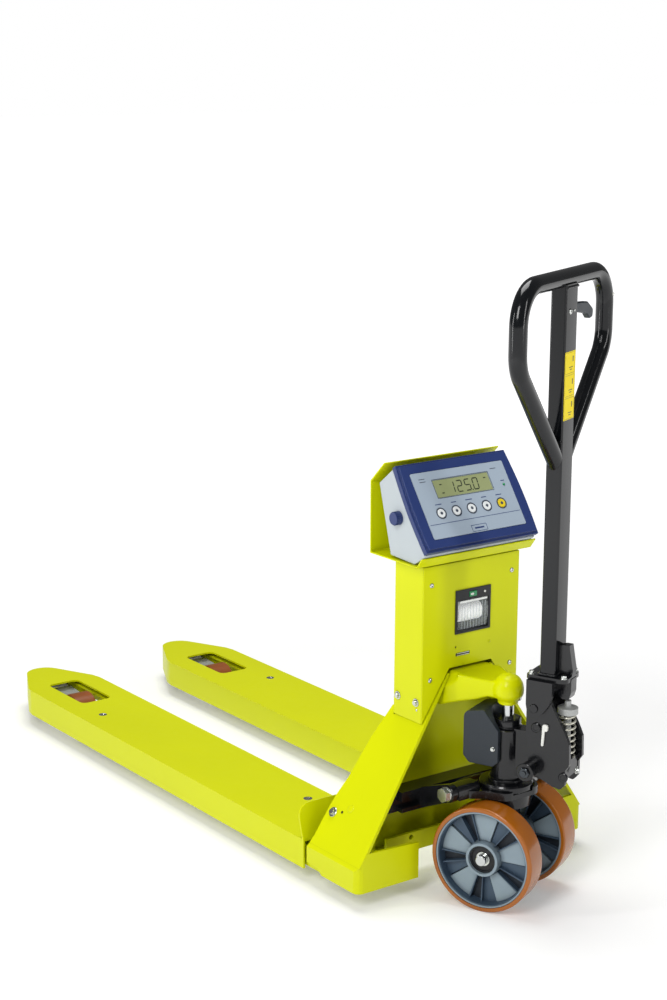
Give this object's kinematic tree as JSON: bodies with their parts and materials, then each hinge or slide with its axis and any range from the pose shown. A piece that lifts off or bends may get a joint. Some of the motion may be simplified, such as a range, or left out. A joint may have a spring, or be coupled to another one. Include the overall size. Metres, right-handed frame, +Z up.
{
  "type": "pallet truck scale",
  "caption": "Hand pallet truck that weighs its load: fork covers on load cells, a column with indicator and printer, and a steered hydraulic pump with tiller.",
  "frame": {"origin": "centre of the bounding box, on the floor", "axes": "+X from the fork tips to the operator's end, +Y to the right for someone standing at the tiller and facing the forks, +Z up"},
  "size_m": [1.6441, 0.5552, 1.1712],
  "materials": {
    "yellow_paint": "gloss",
    "black_paint": "gloss",
    "cast_black": "gloss",
    "steel": "satin",
    "hub_casting": "satin",
    "polyurethane": "satin",
    "grey_plastic": "satin",
    "blue_plastic": "satin",
    "dark_plastic": "satin",
    "white_plastic": "satin",
    "yellow_plastic": "satin",
    "green_plastic": "gloss",
    "clear_plastic": "gloss",
    "lcd": "satin",
    "circuit_board": "satin",
    "paper": "matte"
  },
  "bodies": {
    "frame": {"side_frame_left": "yellow_paint", "side_frame_right": "yellow_paint", "cross_frame": "yellow_paint", "crosshead": "yellow_paint", "piston_rod": "steel", "inner_fork_left": "yellow_paint", "inner_fork_right": "yellow_paint", "fork_cover_left": "yellow_paint", "fork_cover_right": "yellow_paint", "load_cell_front_left": "steel", "load_cell_front_right": "steel", "load_cell_rear_left": "steel", "load_cell_rear_right": "steel", "column_housing": "yellow_paint", "column_cover": "yellow_paint", "battery_pack": "dark_plastic", "printer_frame": "dark_plastic", "indicator_bracket": "yellow_paint", "indicator_housing": "grey_plastic", "indicator_bezel": "blue_plastic", "indicator_panel": "grey_plastic", "indicator_display": "lcd", "indicator_board": "circuit_board"},
    "chassis": {"yoke": "cast_black", "thrust_ring": "steel", "rocker_bolt_left": "steel", "rocker_bolt_right": "steel"},
    "rocker": {"rocker": "cast_black"},
    "push_rod_left": {"push_rod_left": "black_paint"},
    "push_rod_right": {"push_rod_right": "black_paint"},
    "roller_arm_left": {"roller_bracket_left": "steel", "roller_axle_left": "steel"},
    "roller_arm_right": {"roller_bracket_right": "steel", "roller_axle_right": "steel"},
    "load_roller_left": {"load_roller_left": "polyurethane"},
    "load_roller_right": {"load_roller_right": "polyurethane"},
    "pump_unit": {"pump_body": "cast_black", "reservoir": "dark_plastic", "wheel_axle": "steel", "tiller_pivot_pin": "steel", "pump_spring": "steel"},
    "wheel_left": {"wheel_hub_left": "hub_casting", "wheel_tyre_left": "polyurethane"},
    "wheel_right": {"wheel_hub_right": "hub_casting", "wheel_tyre_right": "polyurethane"},
    "plunger": {"plunger": "steel"},
    "release_lever": {"release_lever": "white_plastic"},
    "tiller_unit": {"tiller_base": "cast_black", "tiller": "black_paint"},
    "control_lever": {"control_lever": "dark_plastic"},
    "key_1": {"key_1": "white_plastic"},
    "key_2": {"key_2": "white_plastic"},
    "key_3": {"key_3": "white_plastic"},
    "key_4": {"key_4": "white_plastic"},
    "key_5": {"key_5": "yellow_plastic"},
    "feed_button": {"feed_button": "green_plastic"},
    "printer_door": {"printer_door": "clear_plastic"},
    "paper_roll": {"paper_roll": "paper"},
    "side_knob_left": {"side_knob_left": "blue_plastic"},
    "side_knob_right": {"side_knob_right": "blue_plastic"}
  },
  "joints": [
    {"name": "lift", "type": "slide", "parent": "frame", "child": "chassis", "axis": [0, 0, -1], "range_m": [0, 0.115]},
    {"name": "rocker_swing", "type": "hinge", "parent": "frame", "child": "rocker", "pos_m": [0.422, 0, 0.13], "axis": [0, 1, 0], "range_deg": [0, 30.9]},
    {"name": "push_rod_left_swing", "type": "hinge", "parent": "rocker", "child": "push_rod_left", "pos_m": [0.444, -0.1876, 0.05], "axis": [0, 1, 0], "range_deg": [-31.8, 0]},
    {"name": "push_rod_right_swing", "type": "hinge", "parent": "rocker", "child": "push_rod_right", "pos_m": [0.444, 0.1876, 0.05], "axis": [0, 1, 0], "range_deg": [-31.8, 0]},
    {"name": "roller_arm_left_swing", "type": "hinge", "parent": "frame", "child": "roller_arm_left", "pos_m": [-0.762, -0.1876, 0.058], "axis": [0, 1, 0], "range_deg": [0, 55.8]},
    {"name": "roller_arm_right_swing", "type": "hinge", "parent": "frame", "child": "roller_arm_right", "pos_m": [-0.762, 0.1876, 0.058], "axis": [0, 1, 0], "range_deg": [0, 55.8]},
    {"name": "load_roller_left_spin", "type": "hinge", "parent": "roller_arm_left", "child": "load_roller_left", "pos_m": [-0.613, -0.1876, 0.04], "axis": [0, 1, 0], "continuous": true},
    {"name": "load_roller_right_spin", "type": "hinge", "parent": "roller_arm_right", "child": "load_roller_right", "pos_m": [-0.613, 0.1876, 0.04], "axis": [0, 1, 0], "continuous": true},
    {"name": "steer", "type": "hinge", "parent": "chassis", "child": "pump_unit", "pos_m": [0.6527, 0, 0.214], "axis": [0, 0, 1], "range_deg": [-124, 76]},
    {"name": "wheel_left_spin", "type": "hinge", "parent": "pump_unit", "child": "wheel_left", "pos_m": [0.68361, -0.06943, 0.1], "axis": [-0.4067, 0.9135, 0], "continuous": true},
    {"name": "wheel_right_spin", "type": "hinge", "parent": "pump_unit", "child": "wheel_right", "pos_m": [0.62179, 0.06943, 0.1], "axis": [-0.4067, 0.9135, 0], "continuous": true},
    {"name": "tiller_tilt", "type": "hinge", "parent": "pump_unit", "child": "tiller_unit", "pos_m": [0.71665, 0.02847, 0.386], "axis": [-0.4067, 0.9135, 0], "range_deg": [0, 60], "stiffness_Nm_per_rad": 70, "springref_deg": -11.46},
    {"name": "plunger_stroke", "type": "slide", "parent": "pump_unit", "child": "plunger", "axis": [0, 0, -1], "range_m": [0, 0.0509], "deforming": ["pump_spring"]},
    {"name": "hand_lever_swing", "type": "hinge", "parent": "tiller_unit", "child": "control_lever", "pos_m": [0.73411, 0.02858, 1.1], "axis": [0.9135, 0.4067, 0], "range_deg": [-8, 8], "stiffness_Nm_per_rad": 4, "springref_deg": 1.72},
    {"name": "release_swing", "type": "hinge", "parent": "pump_unit", "child": "release_lever", "pos_m": [0.74611, 0.00163, 0.318], "axis": [-0.4067, 0.9135, 0], "range_deg": [-4.2, 4.2]},
    {"name": "key_1_press", "type": "slide", "parent": "frame", "child": "key_1", "axis": [-0.8171, 0, -0.5764], "range_m": [0, 0.001], "stiffness_N_per_m": 600, "springref_m": -0.0005},
    {"name": "key_2_press", "type": "slide", "parent": "frame", "child": "key_2", "axis": [-0.8171, 0, -0.5764], "range_m": [0, 0.001], "stiffness_N_per_m": 600, "springref_m": -0.0005},
    {"name": "key_3_press", "type": "slide", "parent": "frame", "child": "key_3", "axis": [-0.8171, 0, -0.5764], "range_m": [0, 0.001], "stiffness_N_per_m": 600, "springref_m": -0.0005},
    {"name": "key_4_press", "type": "slide", "parent": "frame", "child": "key_4", "axis": [-0.8171, 0, -0.5764], "range_m": [0, 0.001], "stiffness_N_per_m": 600, "springref_m": -0.0005},
    {"name": "key_5_press", "type": "slide", "parent": "frame", "child": "key_5", "axis": [-0.8171, 0, -0.5764], "range_m": [0, 0.001], "stiffness_N_per_m": 600, "springref_m": -0.0005},
    {"name": "feed_button_press", "type": "slide", "parent": "frame", "child": "feed_button", "axis": [-1, 0, 0], "range_m": [0, 0.0015], "stiffness_N_per_m": 500, "springref_m": -0.0005},
    {"name": "printer_door_swing", "type": "hinge", "parent": "frame", "child": "printer_door", "pos_m": [0.5414, 0.0025, 0.49], "axis": [0, 1, 0], "range_deg": [0, 75]},
    {"name": "paper_roll_spin", "type": "hinge", "parent": "frame", "child": "paper_roll", "pos_m": [0.5219, 0.0025, 0.516], "axis": [0, 1, 0], "continuous": true},
    {"name": "side_knob_left_turn", "type": "hinge", "parent": "frame", "child": "side_knob_left", "pos_m": [0.489, -0.1314, 0.706], "axis": [0, 1, 0], "continuous": true},
    {"name": "side_knob_right_turn", "type": "hinge", "parent": "frame", "child": "side_knob_right", "pos_m": [0.489, 0.1314, 0.706], "axis": [0, 1, 0], "continuous": true}
  ],
  "couplings": [
    {"joint": "rocker_swing", "follows": "lift", "rad_per_m": 4.6653},
    {"joint": "push_rod_left_swing", "follows": "lift", "rad_per_m": -4.799},
    {"joint": "push_rod_right_swing", "follows": "lift", "rad_per_m": -4.799},
    {"joint": "roller_arm_left_swing", "follows": "lift", "rad_per_m": 8.4337},
    {"joint": "roller_arm_right_swing", "follows": "lift", "rad_per_m": 8.4337},
    {"joint": "plunger_stroke", "follows": "tiller_tilt", "m_per_rad": 0.0485},
    {"joint": "release_swing", "follows": "hand_lever_swing", "ratio": 0.5}
  ]
}
